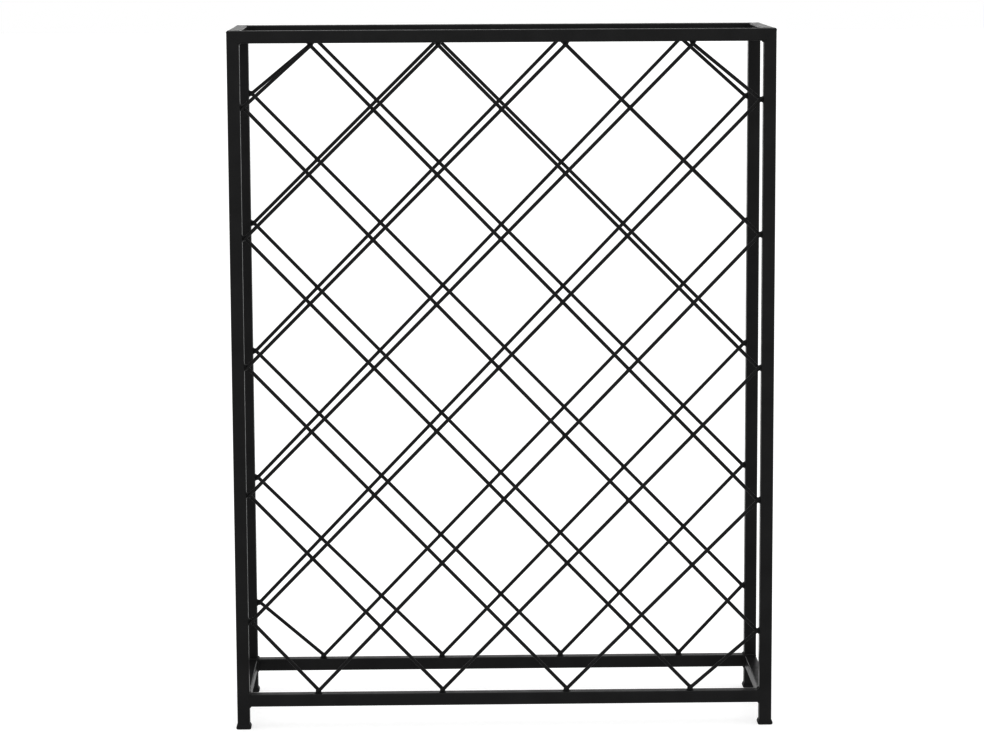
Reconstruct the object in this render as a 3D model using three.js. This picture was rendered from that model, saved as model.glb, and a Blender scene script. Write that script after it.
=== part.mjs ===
// A free-standing wine rack. Two welded panels of square steel tube, each filled with a lattice
// of crossed round rods, are joined by four short side rails and stand on four push-in glides.
// Bottles lie front to back in the diamonds of the two lattices.
//
// Millimetres, +Z up. The origin is on the floor below the middle of the rack, and the front
// faces -Y. Left is -X and right is +X, as seen from the front.

import * as THREE from 'three';

// Frame
const rackWidth = 560;
const rackDepth = 172;
const rackHeight = 728;
const tubeSide = 12.7;
const tubeWall = 1;
const tubeCorner = 1.5;
const bottomRailClearance = 24; // floor to the underside of the bottom rails
const weldGap = 0.3; // left at mitres and at rod ends, for the weld to fill

// Lattice rods
const rodDiameter = 3.5;
const rodSides = 16;
const layerGap = 0.3; // between the rising and the falling rods of one panel
const crossingInset = 2.8; // from a tube's inner face to where a pair of rods cross beside it

// Where pairs of rods cross beside each tube of a panel, seen from outside the rack. Each upright
// is marked out from its own foot, so the diamonds lean a little. The rear panel is the same
// panel turned round.
const railCrossings = { count: 4, first: -195, pitch: 130 }; // from the middle of the rail
const leftCrossings = { count: 5, first: 114, pitch: 134 }; // above the floor
const rightCrossings = { count: 5, first: 99.5, pitch: 139 }; // above the floor

// Glides
const glideHeight = 5; // floor to the end of the upright
const glideHalfWidth = 7.7; // at its widest
const glideFootHalfWidth = 7; // where it meets the floor
const glideRound = 1.1; // height of the rounded lower edge
const plugClearance = 0.3; // between the plug and the inside of the tube
const plugLength = 12;
const plugLead = 1; // chamfer at the plug's tip
const glideCorner = 0.25; // corner radius as a share of the half width

// Worked out from the above
const halfTube = tubeSide / 2;
const uprightX = rackWidth / 2 - halfTube;
const panelY = rackDepth / 2 - halfTube;
const topRailZ = rackHeight - halfTube;
const bottomRailZ = bottomRailClearance + halfTube;
const innerX = uprightX - halfTube;
const innerTop = topRailZ - halfTube;
const innerBottom = bottomRailZ + halfTube;
const rodRadius = rodDiameter / 2;
const rodTail = Math.sqrt((crossingInset - weldGap) ** 2 - rodRadius ** 2); // past a crossing

const paintedSteel = new THREE.MeshStandardMaterial({
  color: 0x1b1b1c,
  roughness: 0.45,
  metalness: 0.0,
});
const blackPlastic = new THREE.MeshStandardMaterial({
  color: 0x111112,
  roughness: 0.6,
  metalness: 0.0,
});

function namedMesh(name, geometry, material) {
  const mesh = new THREE.Mesh(geometry, material);
  mesh.name = name;
  return mesh;
}

// Moves every vertex by a function of its place.
function reshape(geometry, move) {
  const position = geometry.attributes.position;
  const point = new THREE.Vector3();
  for (let i = 0; i < position.count; i += 1) {
    point.fromBufferAttribute(position, i);
    move(point);
    position.setXYZ(i, point.x, point.y, point.z);
  }
  geometry.computeVertexNormals();
  return geometry;
}

// Slants the two ends of a bar that lies along Z: each slope is the rise along Z for a step in X.
function slantEnds(geometry, startSlope, endSlope) {
  geometry.computeBoundingBox();
  const { min, max } = geometry.boundingBox;
  const middle = (min.z + max.z) / 2;
  return reshape(geometry, (point) => {
    point.z += point.x * (point.z < middle ? startSlope : endSlope);
  });
}

function roundedSquare(path, half, corner) {
  const flat = half - corner;
  path.absarc(flat, flat, corner, 0, Math.PI / 2);
  path.absarc(-flat, flat, corner, Math.PI / 2, Math.PI);
  path.absarc(-flat, -flat, corner, Math.PI, Math.PI * 1.5);
  path.absarc(flat, -flat, corner, Math.PI * 1.5, Math.PI * 2);
  path.closePath();
  return path;
}

// Square tube along Z, centred on its length.
function squareTube(length, startSlope = 0, endSlope = 0) {
  const section = roundedSquare(new THREE.Shape(), halfTube, tubeCorner);
  const bore = roundedSquare(new THREE.Path(), halfTube - tubeWall, tubeCorner - tubeWall);
  section.holes.push(bore);
  const geometry = new THREE.ExtrudeGeometry(section, {
    depth: length,
    bevelEnabled: false,
    curveSegments: 4,
  });
  geometry.translate(0, 0, -length / 2);
  return slantEnds(geometry, startSlope, endSlope);
}

// An upright stands on its glide, and its top is mitred to the top rail. outward is -1 for an
// upright on the panel's left and 1 for one on its right.
function upright(name, outward) {
  const length = topRailZ - weldGap - glideHeight;
  const mesh = namedMesh(name, squareTube(length, 0, outward), paintedSteel);
  mesh.position.set(outward * uprightX, 0, glideHeight + length / 2);
  return mesh;
}

function topRail(name) {
  const mesh = namedMesh(name, squareTube(2 * uprightX, 1, -1), paintedSteel);
  mesh.rotation.y = Math.PI / 2;
  mesh.position.z = topRailZ;
  return mesh;
}

function bottomRail(name) {
  const mesh = namedMesh(name, squareTube(2 * innerX), paintedSteel);
  mesh.rotation.y = Math.PI / 2;
  mesh.position.z = bottomRailZ;
  return mesh;
}

function sideRail(name, x, z) {
  const mesh = namedMesh(name, squareTube(rackDepth - 2 * tubeSide), paintedSteel);
  mesh.rotation.x = -Math.PI / 2;
  mesh.position.set(x, 0, z);
  return mesh;
}

function spread({ count, first, pitch }) {
  return Array.from({ length: count }, (_, i) => first + i * pitch);
}

// A crossing is a point in the panel's XZ plane, beside one of its four tubes.
function besideUpright(z, outward) {
  return { x: outward * (innerX - crossingInset), z };
}

function underTopRail(x) {
  return { x, z: innerTop - crossingInset };
}

function overBottomRail(x) {
  return { x, z: innerBottom + crossingInset };
}

// A straight rod through two crossings, cut square just short of the tubes. The tail past each
// crossing is as long as it can be at any slant.
function latticeRod(name, from, to, y) {
  const run = Math.hypot(to.x - from.x, to.z - from.z);
  const geometry = new THREE.CylinderGeometry(rodRadius, rodRadius, run + 2 * rodTail, rodSides);
  geometry.rotateX(Math.PI / 2);
  const mesh = namedMesh(name, geometry, paintedSteel);
  mesh.position.set((from.x + to.x) / 2, y, (from.z + to.z) / 2);
  mesh.rotation.y = Math.atan2(to.x - from.x, to.z - from.z);
  return mesh;
}

// The rising rods lie in the outer layer and the falling rods in the inner one.
function lattice(panelName) {
  const left = spread(leftCrossings).map((z) => besideUpright(z, -1));
  const right = spread(rightCrossings).map((z) => besideUpright(z, 1));
  const top = spread(railCrossings).map(underTopRail);
  const bottom = spread(railCrossings).map(overBottomRail);
  const layerOffset = (rodDiameter + layerGap) / 2;

  const risingStarts = [...left.toReversed(), ...bottom];
  const risingEnds = [...top, ...right.toReversed()];
  const fallingStarts = [...left, ...top];
  const fallingEnds = [...bottom, ...right];

  const rising = risingStarts.map((from, i) =>
    latticeRod(`${panelName}_rising_rod_${i + 1}`, from, risingEnds[i], -layerOffset));
  const falling = fallingStarts.map((from, i) =>
    latticeRod(`${panelName}_falling_rod_${i + 1}`, from, fallingEnds[i], layerOffset));
  return [...rising, ...falling];
}

// One welded panel as seen from outside the rack, with its tubes centred on Y = 0.
function weldedPanel(panelName, leftName, rightName) {
  const panel = new THREE.Group();
  panel.add(
    upright(`${panelName}_${leftName}_upright`, -1),
    upright(`${panelName}_${rightName}_upright`, 1),
    topRail(`${panelName}_top_rail`),
    bottomRail(`${panelName}_bottom_rail`),
    ...lattice(panelName),
  );
  return panel;
}

// Distance from the middle of a rounded square of half width 1 to its outline, at an angle.
function roundedSquareReach(angle, corner) {
  const x = Math.abs(Math.cos(angle));
  const y = Math.abs(Math.sin(angle));
  const straight = 1 / Math.max(x, y);
  const flat = 1 - corner;
  if (straight * Math.min(x, y) <= flat) {
    return straight;
  }
  const towardCorner = flat * (x + y);
  return towardCorner + Math.sqrt(towardCorner ** 2 - 2 * flat ** 2 + corner ** 2);
}

// A square glide: a flared foot under the tube, and a plug that fits inside it.
function glide(name, x, y) {
  const plugHalfWidth = halfTube - tubeWall - plugClearance;
  const plugTop = glideHeight + plugLength;
  const profile = [
    [0, 0],
    [glideFootHalfWidth, 0],
    [glideHalfWidth, glideRound],
    [halfTube, glideHeight],
    [plugHalfWidth, glideHeight],
    [plugHalfWidth, plugTop - plugLead],
    [plugHalfWidth - plugLead, plugTop],
    [0, plugTop],
  ].map(([radius, height]) => new THREE.Vector2(radius, height));
  const geometry = new THREE.LatheGeometry(profile, 32);
  geometry.rotateX(Math.PI / 2);
  reshape(geometry, (point) => {
    const stretch = roundedSquareReach(Math.atan2(point.y, point.x), glideCorner);
    point.x *= stretch;
    point.y *= stretch;
  });

  const mesh = namedMesh(name, geometry, blackPlastic);
  mesh.position.set(x, y, 0);
  return mesh;
}

const frontPanel = weldedPanel('front', 'left', 'right');
frontPanel.position.y = -panelY;

const rearPanel = weldedPanel('rear', 'right', 'left');
rearPanel.rotation.z = Math.PI;
rearPanel.position.y = panelY;

const rack = new THREE.Group();
rack.add(
  frontPanel,
  rearPanel,
  sideRail('left_top_side_rail', -uprightX, topRailZ),
  sideRail('right_top_side_rail', uprightX, topRailZ),
  sideRail('left_bottom_side_rail', -uprightX, bottomRailZ),
  sideRail('right_bottom_side_rail', uprightX, bottomRailZ),
  glide('front_left_glide', -uprightX, -panelY),
  glide('front_right_glide', uprightX, -panelY),
  glide('rear_left_glide', -uprightX, panelY),
  glide('rear_right_glide', uprightX, panelY),
);

export default rack;
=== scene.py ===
"""A wine rack of square steel tube with crossed-rod lattices, painted black, on a pale floor.

Metres, +Z up, and the front faces -Y. Finer pieces replace the CAD tubes, rods and glides, and take
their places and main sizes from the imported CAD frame. Weld beads join the tubes and rods. The small
details have their sizes below.
"""

import math

import bmesh
import bpy
from mathutils import Matrix, Vector, noise


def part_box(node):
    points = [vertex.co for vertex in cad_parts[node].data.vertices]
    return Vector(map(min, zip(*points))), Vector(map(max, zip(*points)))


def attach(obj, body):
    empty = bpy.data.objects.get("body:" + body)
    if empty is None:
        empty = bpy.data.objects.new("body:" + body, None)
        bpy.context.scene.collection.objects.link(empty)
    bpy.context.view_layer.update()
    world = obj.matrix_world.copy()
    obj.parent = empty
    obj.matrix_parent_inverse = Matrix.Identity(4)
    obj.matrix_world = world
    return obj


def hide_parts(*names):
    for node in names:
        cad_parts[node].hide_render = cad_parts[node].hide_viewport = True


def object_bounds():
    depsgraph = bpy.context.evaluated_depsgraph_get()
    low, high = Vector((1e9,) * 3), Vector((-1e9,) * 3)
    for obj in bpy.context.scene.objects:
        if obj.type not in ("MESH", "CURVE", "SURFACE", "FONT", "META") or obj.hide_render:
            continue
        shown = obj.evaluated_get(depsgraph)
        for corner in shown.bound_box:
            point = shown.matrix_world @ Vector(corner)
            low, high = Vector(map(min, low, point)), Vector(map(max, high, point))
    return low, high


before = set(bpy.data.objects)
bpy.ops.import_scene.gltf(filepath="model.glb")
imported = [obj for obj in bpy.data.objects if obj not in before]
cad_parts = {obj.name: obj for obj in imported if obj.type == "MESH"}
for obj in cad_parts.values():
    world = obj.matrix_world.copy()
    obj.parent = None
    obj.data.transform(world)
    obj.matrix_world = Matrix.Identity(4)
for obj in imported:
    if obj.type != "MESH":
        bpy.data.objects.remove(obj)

cad_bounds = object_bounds()

MM = 0.001
X_AXIS = Vector((1, 0, 0))
Y_AXIS = Vector((0, 1, 0))
Z_AXIS = Vector((0, 0, 1))

PANELS = ("front", "rear")
SIDES = {"left": -1, "right": 1}
LEVELS = ("top", "bottom")
DIRECTIONS = ("rising", "falling")
RODS_EACH_WAY = 9

# Edges sharper than this, in degrees, are not shaded smooth
SHARP_EDGE = 50
SHARP_GLIDE_EDGE = 35

# Square tube
TUBE_CORNER = 1.5 * MM
TUBE_WALL = 1.0 * MM
CORNER_STEPS = 6
GROUND_RINGS = 5  # along the part of a mitred end that is ground round

# Lattice rods
ROD_SIDES = 24
ROD_END_ROUND = 0.45 * MM
ROUND_STEPS = 4
CORNER_DIGITS = 6  # corners that agree to this many digits of a metre are one

# Welds round the ends of tubes
FILLET_REACH = 1.4 * MM  # in an inner corner
SEAM_RISE = 0.2 * MM  # where the faces are level
SEAM_REACH = 1.5 * MM
GROUND_RISE = 0.03 * MM  # of the bead over the ground corner of a mitre
BEAD_DEPTH = 0.9 * MM  # below the tube's surface
BEAD_LUMP = 2.2 * MM  # from one lump to the next, roughly
BEAD_LUMP_RISE = 0.4  # share of the rise that comes and goes with the lumps
BEAD_LUMP_REACH = 0.2
MITRE_UNEVENNESS = 0.6
BEAD_RIPPLE = 0.1  # share of the bead's size
RIPPLE = 1.6 * MM  # from one ripple to the next
GROOVE_SHIFT = 0.55 * MM  # over the rounded edge of the tube that is butted
SIDE_STEPS = 26
SECTION_STEPS = 12

# Welds on the rods: out from a tube's face, along it, and in depth from front to back
CROSSING_REACH = Vector((2.7, 2.1, 2.7)) * MM
STUB_OUT = 3.1 * MM
STUB_ALONG = 3.3 * MM
STUB_DEPTH = 3.0 * MM
TOE_OUT = 0.9 * MM
TOE_ALONG = 4.2 * MM
TOE_DEPTH = 3.6 * MM
NEAR_TUBE = 8 * MM
LUMP_DETAIL = 3
LUMP_UNEVENNESS = 0.2
LUMP_WAVES = 1.4
LUMP_VARIETY = 5 * MM  # lumps about this far apart have different shapes

# Glides
GLIDE_ROUND_IN = 1.0 * MM
GLIDE_ROUND_UP = 1.5 * MM
GLIDE_RIM = 1.5 * MM
GLIDE_HOLLOW = 0.4 * MM
FLARE_STEPS = 8
PLUG_HALF = 4.85 * MM
PLUG_LEAD = 1.0 * MM
PLUG_BARB = 0.4 * MM
PLUG_BARBS = 3

# Materials. Each one's colour varies between two
COAT_COLOURS = ((0.019, 0.019, 0.0194), (0.027, 0.027, 0.0276))
COAT_IOR = 1.38
COAT_BUMP = 0.012 * MM
PLASTIC_COLOURS = ((0.017, 0.017, 0.0175), (0.045, 0.045, 0.043))
PLASTIC_IOR = 1.45
PLASTIC_BUMP = 0.02 * MM
SCUFF_HEIGHT = 1.3 * MM
SCUFF_STRENGTH = 0.55
FLOOR_COLOURS = ((0.23, 0.23, 0.23), (0.25, 0.25, 0.25))
FLOOR_ROUGHNESS = 0.9

# Studio
FLOOR_SIZE = 40.0
FLOOR_GLOW = 0.76
FRONT_LIGHT = 0.7
BACK_LIGHT = 0.75
HORIZON_LIGHT = 1.35
OVERHEAD_LIGHT = 0.5
SOFTBOX_PLACE = Vector((0.3, -0.6, 3.0))
SOFTBOX_TARGET = Vector((0, 0, 0.4))
SOFTBOX_SIZE = 2.5
SOFTBOX_WATTS = 25
PRINT_GAMMA = 0.62  # deepens the mid-tones, as in a contrasty print
CAMERA_PLACE = Vector((-0.0711, -3.2989, 0.8418))
CAMERA_YAW = math.radians(-1.059)
CAMERA_PITCH = math.radians(-8.195)
CAMERA_ROLL = math.radians(-0.277)
LENS_MM = 115.07
SENSOR_WIDTH_MM = 36.0


# ---------------------------------------------------------------- meshes


def new_piece(name, mesh, material, replaces=()):
    """Adds a finished piece, which rides on the rack's one body."""
    mesh.materials.append(material)
    piece = bpy.data.objects.new(name, mesh)
    bpy.context.scene.collection.objects.link(piece)
    piece.modifiers.new("flat_faces_stay_flat", "WEIGHTED_NORMAL").keep_sharp = True
    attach(piece, "root")
    if replaces:
        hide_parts(*replaces)


def mesh_from(name, build, sharp_degrees=SHARP_EDGE):
    """The smooth-shaded mesh that build(bm) makes, with its faces pointing out."""
    bm = bmesh.new()
    build(bm)
    bmesh.ops.recalc_face_normals(bm, faces=bm.faces)
    for face in bm.faces:
        face.smooth = True
    mesh = bpy.data.meshes.new(name)
    bm.to_mesh(mesh)
    bm.free()
    mesh.set_sharp_from_angle(angle=math.radians(sharp_degrees))
    return mesh


def skin(bm, rings, closed=False):
    """Skins a row of rings, and caps its ends unless the row closes on itself."""
    loops = [[bm.verts.new(point) for point in ring] for ring in rings]
    following = loops[1:] + loops[:1] if closed else loops[1:]
    for loop, next_loop in zip(loops, following):
        for i in range(len(loop)):
            bm.faces.new((loop[i - 1], loop[i], next_loop[i], next_loop[i - 1]))
    if not closed:
        bm.faces.new(loops[0])
        bm.faces.new(loops[-1])


def square_outline(half, corner, side_steps=1):
    """Points round a square with rounded corners, anticlockwise."""
    flat = half - corner
    points = []
    for quarter in range(4):
        turn = Matrix.Rotation(quarter * math.pi / 2, 2)
        for step in range(CORNER_STEPS):
            angle = math.pi / 2 * step / CORNER_STEPS
            on_arc = Vector((math.cos(angle), math.sin(angle))) * corner
            points.append(turn @ (Vector((flat, flat)) + on_arc))
        for step in range(side_steps):
            points.append(turn @ Vector((flat - 2 * flat * step / side_steps, half)))
    return points


def mix(start, end, share):
    return start + (end - start) * share


# ---------------------------------------------------------------- tubes


class Tube:
    """A straight CAD tube: its centre line and half its width, from its box."""

    def __init__(self, node):
        low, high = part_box(node)
        size = high - low
        long_axis = max(range(3), key=lambda i: size[i])
        middle = (low + high) / 2
        self.node = node
        self.half = min(size) / 2
        self.start = middle.copy()
        self.end = middle.copy()
        self.start[long_axis] = low[long_axis]
        self.end[long_axis] = high[long_axis]
        self.along = (self.end - self.start).normalized()


def outer_tube_corners():
    """The lowest and highest corner of the box round the two top rails."""
    boxes = [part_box(f"{panel}_top_rail") for panel in PANELS]
    return boxes[0][0], boxes[1][1]


def tube_ring(tube, centre, slant_way, slope, inset=0.0):
    """The tube's section at centre, inset from its surface and slanted by slope towards slant_way."""
    side_way = tube.along.cross(slant_way)
    outline = square_outline(tube.half - inset, TUBE_CORNER - inset)
    return [
        centre + slant_way * u + side_way * v + tube.along * (slope * u)
        for u, v in outline
    ]


def grind_corners(bm, rise):
    """Trims a mesh to no more than rise above the top and outer faces of the rack.

    The two outer corners at the top, as seen from the front, get the tubes' own radius.
    """
    low, high = outer_tube_corners()
    limit = TUBE_CORNER + rise
    for vert in bm.verts:
        outward = 1 if vert.co.x > 0 else -1
        face_x = high.x if outward > 0 else low.x
        across = (vert.co.x - face_x) * outward + TUBE_CORNER
        up = vert.co.z - high.z + TUBE_CORNER
        distance = math.hypot(max(0.0, across), max(0.0, up))
        if distance > limit and across > 0:
            vert.co.x = face_x + (across * limit / distance - TUBE_CORNER) * outward
        if distance > limit and up > 0:
            vert.co.z = high.z + up * limit / distance - TUBE_CORNER


def add_tube(tube, material, slant_way, start_slope=0, end_slope=0):
    """A hollow tube. A slanted end reaches the end of the tube's box on one side only."""
    start = tube.start + tube.along * (abs(start_slope) * tube.half)
    end = tube.end - tube.along * (abs(end_slope) * tube.half)
    steps = [tube.along * (TUBE_CORNER * i / (GROUND_RINGS - 1)) for i in range(GROUND_RINGS)]
    start_steps = steps if start_slope else steps[:1]
    end_steps = steps[::-1] if end_slope else steps[:1]

    def build(bm):
        rings = [
            *[tube_ring(tube, start + step, slant_way, start_slope) for step in start_steps],
            *[tube_ring(tube, end - step, slant_way, end_slope) for step in end_steps],
            tube_ring(tube, end, slant_way, end_slope, TUBE_WALL),
            tube_ring(tube, start, slant_way, start_slope, TUBE_WALL),
        ]
        skin(bm, rings, closed=True)
        grind_corners(bm, 0.0)

    name = f"{tube.node}_tube"
    new_piece(name, mesh_from(name, build), material, [tube.node])


def add_tubes(material):
    """The rack's twelve tubes. The uprights and top rails are mitred to each other."""
    for panel in PANELS:
        for side, outward in SIDES.items():
            upright = Tube(f"{panel}_{side}_upright")
            add_tube(upright, material, X_AXIS, end_slope=outward)
        add_tube(Tube(f"{panel}_top_rail"), material, Z_AXIS, start_slope=-1, end_slope=1)
        add_tube(Tube(f"{panel}_bottom_rail"), material, Z_AXIS)
    for side in SIDES:
        for level in LEVELS:
            add_tube(Tube(f"{side}_{level}_side_rail"), material, Z_AXIS)


# ---------------------------------------------------------------- rods


class Rod:
    """A straight CAD rod: its centre line, lower end first, and its radius."""

    def __init__(self, node):
        low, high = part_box(node)
        middle = (low.z + high.z) / 2
        # Corners that several faces share are stored several times over, so they are merged first.
        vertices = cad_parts[node].data.vertices
        corners = {tuple(round(c, CORNER_DIGITS) for c in v.co) for v in vertices}
        lower = [Vector(c) for c in corners if c[2] < middle]
        upper = [Vector(c) for c in corners if c[2] >= middle]
        self.node = node
        self.radius = (high.y - low.y) / 2
        self.start = sum(lower, Vector()) / len(lower)
        self.end = sum(upper, Vector()) / len(upper)
        self.along = (self.end - self.start).normalized()


def add_rod(rod, material):
    """A round bar with slightly rounded ends."""
    across = rod.along.cross(Y_AXIS).normalized()

    def ring(place, radius):
        angles = [2 * math.pi * i / ROD_SIDES for i in range(ROD_SIDES)]
        return [
            place + (across * math.cos(a) + Y_AXIS * math.sin(a)) * radius for a in angles
        ]

    def end_rings(tip, inward):
        """The rings of one rounded end, from its tip."""
        rings = []
        for step in range(ROUND_STEPS + 1):
            angle = math.pi / 2 * step / ROUND_STEPS
            depth = ROD_END_ROUND * (1 - math.cos(angle))
            radius = rod.radius - ROD_END_ROUND * (1 - math.sin(angle))
            rings.append(ring(tip + inward * depth, radius))
        return rings

    def build(bm):
        start_rings = end_rings(rod.start, rod.along)
        skin(bm, start_rings + end_rings(rod.end, -rod.along)[::-1])

    name = f"{rod.node}_bar"
    new_piece(name, mesh_from(name, build), material, [rod.node])


def panel_rods(panel, direction):
    return [Rod(f"{panel}_{direction}_rod_{i + 1}") for i in range(RODS_EACH_WAY)]


def crossing(rod, other):
    """Where two rods cross as seen from the front, midway between them, or None."""
    step = rod.end - rod.start
    other_step = other.end - other.start
    gap = other.start - rod.start
    turn = step.x * other_step.z - step.z * other_step.x
    share = (gap.x * other_step.z - gap.z * other_step.x) / turn
    other_share = (gap.x * step.z - gap.z * step.x) / turn
    if not (0 < share < 1 and 0 < other_share < 1):
        return None
    return (rod.start + step * share + other.start + other_step * other_share) / 2


# ---------------------------------------------------------------- welds


def facing(out, ways):
    """How squarely out faces one of a few ways that are at right angles: 1 is square on."""
    return sum(max(0.0, out.dot(way)) ** 2 for way in ways)


def bead_section(point, out, along, level, travelled, unevenness):
    """A bead's section: out is away from the tube, and level is 1 where it is ground flat."""
    lump = noise.noise(point / BEAD_LUMP) * unevenness
    ripple = BEAD_RIPPLE * math.sin(2 * math.pi * travelled / RIPPLE) * (1 - level)
    rise = mix(FILLET_REACH, SEAM_RISE, level) * (1 + ripple + BEAD_LUMP_RISE * lump)
    reach = mix(FILLET_REACH, SEAM_REACH, level) * (1 + ripple + BEAD_LUMP_REACH * lump)
    ring = []
    for step in range(SECTION_STEPS):
        angle = 2 * math.pi * step / SECTION_STEPS
        height = math.sin(angle) * (rise if math.sin(angle) > 0 else BEAD_DEPTH)
        ring.append(point + along * (math.cos(angle) * reach) + out * height)
    return ring


def add_bead(bm, centre, across, up, half, fillets, into=None, unevenness=1.0):
    """A weld bead round the end of a tube.

    across and up span the plane of the joint. fillets lists the ways in which the two tubes make an
    inner corner, and everywhere else their faces are level and the bead is ground flat. into points
    at the tube that is butted, if one is.
    """
    outline = square_outline(half, TUBE_CORNER, side_steps=SIDE_STEPS)
    path = [centre + across * u + up * v for u, v in outline]
    along = across.cross(up).normalized()
    groove = into * GROOVE_SHIFT if into else Vector()
    rings = []
    travelled = 0.0
    for i, point in enumerate(path):
        before = path[i - 1]
        after = path[(i + 1) % len(path)]
        travelled += (point - before).length
        out = (after - before).normalized().cross(along)
        level = 1 - facing(out, fillets)
        place = point + groove * level
        rings.append(bead_section(place, out, along, level, travelled, unevenness))
    skin(bm, rings, closed=True)


def add_lump(bm, centre, reach):
    """A lump of weld metal: an uneven ellipsoid with these reaches along X, Y and Z."""
    made = bmesh.ops.create_icosphere(bm, subdivisions=LUMP_DETAIL, radius=1)
    for vert in made["verts"]:
        swell = 1 + LUMP_UNEVENNESS * noise.noise(vert.co * LUMP_WAVES + centre / LUMP_VARIETY)
        vert.co = centre + reach * vert.co * swell


def add_corner_welds(panel, material):
    """The mitres at the top of a panel, and the butt joints at its bottom."""
    top = Tube(f"{panel}_top_rail")
    bottom = Tube(f"{panel}_bottom_rail")

    def build(bm):
        for side, outward in SIDES.items():
            way = X_AXIS * outward
            upright = Tube(f"{panel}_{side}_upright")
            corner = Vector((upright.start.x, upright.start.y, top.start.z))
            outer = (way + Z_AXIS).normalized()
            mitre = {"fillets": [-outer], "unevenness": MITRE_UNEVENNESS}
            add_bead(bm, corner, way + Z_AXIS, Y_AXIS, upright.half, **mitre)
            rail_end = bottom.end if outward > 0 else bottom.start
            butt = {"fillets": [Z_AXIS, -Z_AXIS], "into": way}
            add_bead(bm, rail_end, Z_AXIS, Y_AXIS, bottom.half, **butt)
        grind_corners(bm, GROUND_RISE)

    name = f"{panel}_corner_welds"
    new_piece(name, mesh_from(name, build), material)


def add_side_rail_welds(side, material):
    """The butt joints of the two rails that join the panels on one side."""
    way = X_AXIS * SIDES[side]

    def build(bm):
        for level in LEVELS:
            rail = Tube(f"{side}_{level}_side_rail")
            fillets = [-way, -Z_AXIS] if level == "top" else [-way, -Z_AXIS, Z_AXIS]
            for rail_end, into in ((rail.start, -rail.along), (rail.end, rail.along)):
                add_bead(bm, rail_end, Z_AXIS, X_AXIS, rail.half, fillets, into=into)

    name = f"{side}_side_rail_welds"
    new_piece(name, mesh_from(name, build), material)


def nearest_tube(panel, place):
    """The way from place to the nearest tube of its panel, and how far off the tube's face is."""
    faces = [
        (place.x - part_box(f"{panel}_left_upright")[1].x, -X_AXIS),
        (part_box(f"{panel}_right_upright")[0].x - place.x, X_AXIS),
        (place.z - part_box(f"{panel}_bottom_rail")[1].z, -Z_AXIS),
        (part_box(f"{panel}_top_rail")[1].z - 2 * Tube(f"{panel}_top_rail").half - place.z, Z_AXIS),
    ]
    distance, way = min(faces, key=lambda face: face[0])
    return way, distance


def reaches(way, out, along, depth):
    """Reaches along X, Y and Z of a lump on a tube's face: out from it, along it, and in depth."""
    if abs(way.x) > 0.5:
        return Vector((out, depth, along))
    return Vector((along, depth, out))


def add_lattice_welds(panel, material):
    """The welds where rods cross, and where each pair of rods meets a tube."""
    falling = panel_rods(panel, "falling")

    def build(bm):
        for rod in panel_rods(panel, "rising"):
            for place in filter(None, (crossing(rod, other) for other in falling)):
                add_lump(bm, place, CROSSING_REACH)
                way, distance = nearest_tube(panel, place)
                if distance < NEAR_TUBE:
                    foot = place + way * distance
                    add_lump(bm, foot, reaches(way, STUB_OUT, STUB_ALONG, STUB_DEPTH))
                    add_lump(bm, foot, reaches(way, TOE_OUT, TOE_ALONG, TOE_DEPTH))

    name = f"{panel}_lattice_welds"
    new_piece(name, mesh_from(name, build), material)


# ---------------------------------------------------------------- glides


def glide_profile(foot_half, tube_half, floor, tube_end, plug_top):
    """Half width and height up the outside of a glide, from the middle of its underside."""
    edge_half = foot_half - GLIDE_ROUND_IN
    profile = [
        (edge_half - GLIDE_RIM - GLIDE_HOLLOW, floor + GLIDE_HOLLOW),
        (edge_half - GLIDE_RIM, floor),
    ]
    for step in range(ROUND_STEPS + 1):
        angle = math.pi / 2 * step / ROUND_STEPS
        half = edge_half + GLIDE_ROUND_IN * math.sin(angle)
        profile.append((half, floor + GLIDE_ROUND_UP * (1 - math.cos(angle))))
    for step in range(1, FLARE_STEPS + 1):
        share = step / FLARE_STEPS
        half = mix(tube_half, foot_half, math.cos(math.pi / 2 * share))
        profile.append((half, mix(floor + GLIDE_ROUND_UP, tube_end, share)))
    profile.append((PLUG_HALF, tube_end))
    barb_pitch = (plug_top - tube_end) / (PLUG_BARBS + 1)
    for i in range(PLUG_BARBS):
        barb = tube_end + barb_pitch * (i + 1)
        profile.append((PLUG_HALF, barb - PLUG_BARB))
        profile.append((PLUG_HALF + PLUG_BARB, barb))
        profile.append((PLUG_HALF, barb + PLUG_BARB))
    profile.append((PLUG_HALF, plug_top - PLUG_LEAD))
    profile.append((PLUG_HALF - PLUG_LEAD, plug_top))
    return profile


def add_glide(node, upright, material):
    """A moulded foot that flares out under an upright, and its barbed plug inside the tube."""
    low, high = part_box(node)
    foot_half = (high.x - low.x) / 2
    centre = (low + high) / 2
    corner_share = TUBE_CORNER / upright.half

    def build(bm):
        rings = []
        profile = glide_profile(foot_half, upright.half, low.z, upright.start.z, high.z)
        for half, height in profile:
            outline = square_outline(half, half * corner_share)
            rings.append([Vector((centre.x + u, centre.y + v, height)) for u, v in outline])
        skin(bm, rings)

    name = f"{node}_moulding"
    mesh = mesh_from(name, build, sharp_degrees=SHARP_GLIDE_EDGE)
    new_piece(name, mesh, material, [node])


# ---------------------------------------------------------------- materials


def new_material(name):
    """A material, its node tree, its shader, and the point on the surface in metres."""
    material = bpy.data.materials.new(name)
    material.use_nodes = True
    tree = material.node_tree
    shader = tree.nodes["Principled BSDF"]
    place = tree.nodes.new("ShaderNodeTexCoord").outputs["Object"]
    return material, tree, shader, place


def add_noise(tree, place, size, detail=2.0):
    """Noise from 0 to 1 whose blotches are about size metres across."""
    node = tree.nodes.new("ShaderNodeTexNoise")
    node.inputs["Scale"].default_value = 1 / size
    node.inputs["Detail"].default_value = detail
    tree.links.new(place, node.inputs["Vector"])
    return node.outputs[0]


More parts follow.
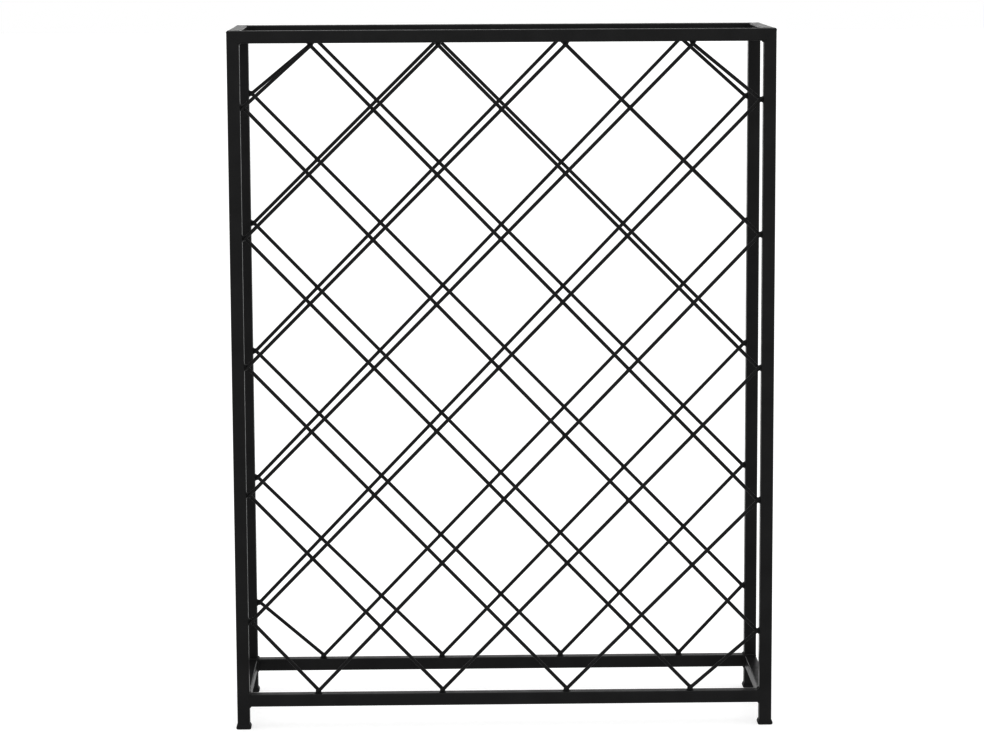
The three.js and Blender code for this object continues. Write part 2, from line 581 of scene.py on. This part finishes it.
def add_range(tree, value, low, high, from_low=0.3, from_high=0.7):
    """Maps value from one range to another, and keeps it inside."""
    node = tree.nodes.new("ShaderNodeMapRange")
    node.inputs["From Min"].default_value = from_low
    node.inputs["From Max"].default_value = from_high
    node.inputs["To Min"].default_value = low
    node.inputs["To Max"].default_value = high
    tree.links.new(value, node.inputs["Value"])
    return node.outputs["Result"]


def add_ramp(tree, share, colours):
    """A colour between two others."""
    node = tree.nodes.new("ShaderNodeValToRGB")
    for element, colour in zip(node.color_ramp.elements, colours):
        element.color = (*colour, 1)
    tree.links.new(share, node.inputs["Fac"])
    return node.outputs["Color"]


def add_sum(tree, value, other, weight):
    """value + other * weight."""
    node = tree.nodes.new("ShaderNodeMath")
    node.operation = "MULTIPLY_ADD"
    tree.links.new(other, node.inputs[0])
    node.inputs[1].default_value = weight
    tree.links.new(value, node.inputs[2])
    return node.outputs[0]


def add_bump(tree, height, depth, shader):
    """Raises the surface by height * depth, in metres."""
    node = tree.nodes.new("ShaderNodeBump")
    node.inputs["Distance"].default_value = depth
    tree.links.new(height, node.inputs["Height"])
    tree.links.new(node.outputs["Normal"], shader.inputs["Normal"])


def powder_coat():
    """Satin black powder coat: an even black, a faint orange peel, and slightly cloudy gloss."""
    material, tree, shader, place = new_material("satin_black_powder_coat")
    clouds = add_noise(tree, place, 30 * MM, detail=4)
    specks = add_noise(tree, place, 1.2 * MM, detail=1)
    tone = add_range(tree, add_sum(tree, clouds, specks, 0.4), 0, 1, 0.5, 0.9)
    tree.links.new(add_ramp(tree, tone, COAT_COLOURS), shader.inputs["Base Color"])
    handling = add_noise(tree, place, 11 * MM, detail=3)
    tree.links.new(add_range(tree, handling, 0.28, 0.37), shader.inputs["Roughness"])
    orange_peel = add_noise(tree, place, 1.6 * MM, detail=1)
    runs = add_noise(tree, place, 9 * MM, detail=1)
    add_bump(tree, add_sum(tree, orange_peel, runs, 2.5), COAT_BUMP, shader)
    shader.inputs["IOR"].default_value = COAT_IOR
    return material


def moulded_plastic():
    """Black polyethylene with a fine spark-eroded grain, scuffed pale where it meets the floor."""
    material, tree, shader, place = new_material("black_moulded_plastic")
    split = tree.nodes.new("ShaderNodeSeparateXYZ")
    tree.links.new(place, split.inputs[0])
    grain = add_noise(tree, place, 0.45 * MM, detail=2)
    low_down = add_range(tree, split.outputs["Z"], SCUFF_STRENGTH, 0, 0, SCUFF_HEIGHT)
    scuffs = add_noise(tree, place, 1.1 * MM, detail=3)
    scuffed = tree.nodes.new("ShaderNodeMath")
    scuffed.operation = "MULTIPLY"
    tree.links.new(low_down, scuffed.inputs[0])
    tree.links.new(add_range(tree, scuffs, 0, 1, 0.45, 0.6), scuffed.inputs[1])
    colour = add_ramp(tree, scuffed.outputs[0], PLASTIC_COLOURS)
    tree.links.new(colour, shader.inputs["Base Color"])
    tree.links.new(add_range(tree, scuffs, 0.5, 0.66), shader.inputs["Roughness"])
    add_bump(tree, grain, PLASTIC_BUMP, shader)
    shader.inputs["IOR"].default_value = PLASTIC_IOR
    return material


def opal_floor():
    """Matt opal acrylic, very slightly uneven and lit from below, so that shadows on it are faint."""
    material, tree, shader, place = new_material("matt_opal_floor")
    clouds = add_noise(tree, place, 0.7, detail=3)
    tree.links.new(add_ramp(tree, clouds, FLOOR_COLOURS), shader.inputs["Base Color"])
    shader.inputs["Roughness"].default_value = FLOOR_ROUGHNESS
    shader.inputs["Emission Color"].default_value = (1, 1, 1, 1)
    shader.inputs["Emission Strength"].default_value = FLOOR_GLOW
    return material


# ---------------------------------------------------------------- studio


def add_floor():
    """A white floor that reaches past every view of it."""
    def build(bm):
        bmesh.ops.create_grid(bm, x_segments=1, y_segments=1, size=FLOOR_SIZE / 2)

    mesh = mesh_from("studio_floor", build)
    mesh.materials.append(opal_floor())
    floor = bpy.data.objects.new("studio_floor", mesh)
    bpy.context.scene.collection.objects.link(floor)
    floor.location.z = cad_bounds[0][2]


def add_surroundings():
    """White all round: brightest overhead and in a low band, and even white to the camera."""
    world = bpy.data.worlds.new("white_studio")
    bpy.context.scene.world = world
    world.use_nodes = True
    tree = world.node_tree
    lit = tree.nodes["Background"]
    way = tree.nodes.new("ShaderNodeTexCoord").outputs["Generated"]
    split = tree.nodes.new("ShaderNodeSeparateXYZ")
    tree.links.new(way, split.inputs[0])
    behind = add_range(tree, split.outputs["Y"], FRONT_LIGHT, BACK_LIGHT, -0.6, 0.6)
    above = add_range(tree, split.outputs["Z"], 0, 1, 0.2, 0.8)
    low = add_range(tree, split.outputs["Z"], 1, 0, 0.05, 0.2)
    light = add_sum(tree, add_sum(tree, behind, above, OVERHEAD_LIGHT), low, HORIZON_LIGHT)
    tree.links.new(light, lit.inputs["Strength"])
    seen = tree.nodes.new("ShaderNodeBackground")
    choice = tree.nodes.new("ShaderNodeMixShader")
    to_camera = tree.nodes.new("ShaderNodeLightPath").outputs["Is Camera Ray"]
    lit.inputs["Color"].default_value = (1, 1, 1, 1)
    seen.inputs["Color"].default_value = (1, 1, 1, 1)
    tree.links.new(to_camera, choice.inputs[0])
    tree.links.new(lit.outputs[0], choice.inputs[1])
    tree.links.new(seen.outputs[0], choice.inputs[2])
    tree.links.new(choice.outputs[0], tree.nodes["World Output"].inputs["Surface"])


def add_softbox():
    """A large soft lamp overhead, out of the camera's sight."""
    lamp = bpy.data.lights.new("overhead_softbox", "AREA")
    lamp.shape = "SQUARE"
    lamp.size = SOFTBOX_SIZE
    lamp.energy = SOFTBOX_WATTS
    box = bpy.data.objects.new("overhead_softbox", lamp)
    bpy.context.scene.collection.objects.link(box)
    box.location = SOFTBOX_PLACE
    box.rotation_euler = (SOFTBOX_TARGET - SOFTBOX_PLACE).to_track_quat("-Z", "Y").to_euler()
    box.visible_camera = False


def add_camera():
    """A long lens a little higher than the rack and a little left of its middle, looking down."""
    data = bpy.data.cameras.new("camera")
    data.lens = LENS_MM
    data.sensor_width = SENSOR_WIDTH_MM
    camera = bpy.data.objects.new("camera", data)
    bpy.context.scene.collection.objects.link(camera)
    aim = Matrix.Rotation(CAMERA_YAW, 4, "Z") @ Matrix.Rotation(math.pi / 2 + CAMERA_PITCH, 4, "X")
    camera.matrix_world = Matrix.Translation(CAMERA_PLACE) @ aim @ Matrix.Rotation(CAMERA_ROLL, 4, "Z")
    bpy.context.scene.camera = camera


# ---------------------------------------------------------------- the scene


def main():
    steel = powder_coat()
    plastic = moulded_plastic()
    add_tubes(steel)
    for panel in PANELS:
        for direction in DIRECTIONS:
            for rod in panel_rods(panel, direction):
                add_rod(rod, steel)
        add_corner_welds(panel, steel)
        add_lattice_welds(panel, steel)
        for side in SIDES:
            add_glide(f"{panel}_{side}_glide", Tube(f"{panel}_{side}_upright"), plastic)
    for side in SIDES:
        add_side_rail_welds(side, steel)
    add_floor()
    add_surroundings()
    add_softbox()
    add_camera()
    bpy.context.scene.view_settings.view_transform = "Standard"
    bpy.context.scene.view_settings.gamma = PRINT_GAMMA


main()
